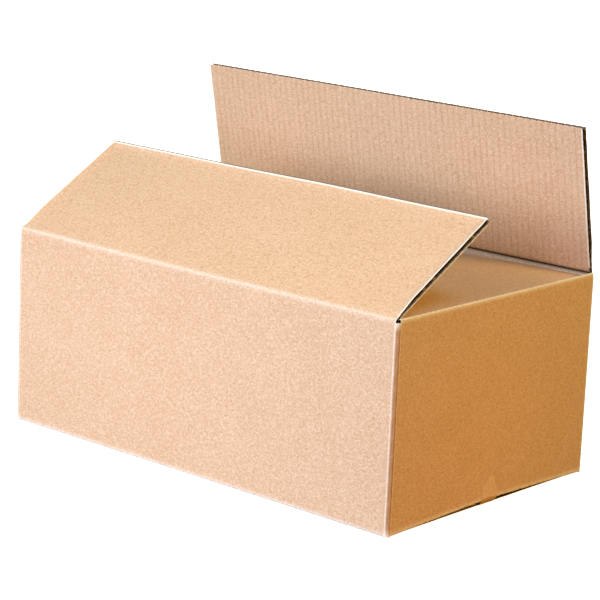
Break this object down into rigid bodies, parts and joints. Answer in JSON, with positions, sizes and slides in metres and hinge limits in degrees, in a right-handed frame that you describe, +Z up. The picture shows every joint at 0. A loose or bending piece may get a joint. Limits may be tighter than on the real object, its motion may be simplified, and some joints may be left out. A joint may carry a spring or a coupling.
{
  "type": "corrugated shipping carton",
  "caption": "Rectangular corrugated cardboard carton with hinged top flaps, shown partly open, its base closed with a strip of clear tape.",
  "frame": {"origin": "middle of the base, on the surface that the carton stands on", "axes": "+X along the carton's length, +Y from the front panel to the back panel, +Z up"},
  "size_m": [0.5084, 0.308, 0.356],
  "materials": {
    "board": "matt kraft liner over a fluted core",
    "tape": "thin clear film over kraft board, slightly glossy"
  },
  "bodies": {
    "carton": {"carton_body": "board", "bottom_tape": "tape"},
    "front_lid": {"front_flap": "board"},
    "back_lid": {"back_flap": "board"}
  },
  "joints": [
    {"name": "front_fold", "type": "hinge", "parent": "carton", "child": "front_lid", "pos_m": [0, -0.1535, 0.2065], "axis": [1, 0, 0], "range_deg": [-30, 175]},
    {"name": "back_fold", "type": "hinge", "parent": "carton", "child": "back_lid", "pos_m": [0, 0.1535, 0.2065], "axis": [-1, 0, 0], "range_deg": [-78.4, 126.6]}
  ]
}
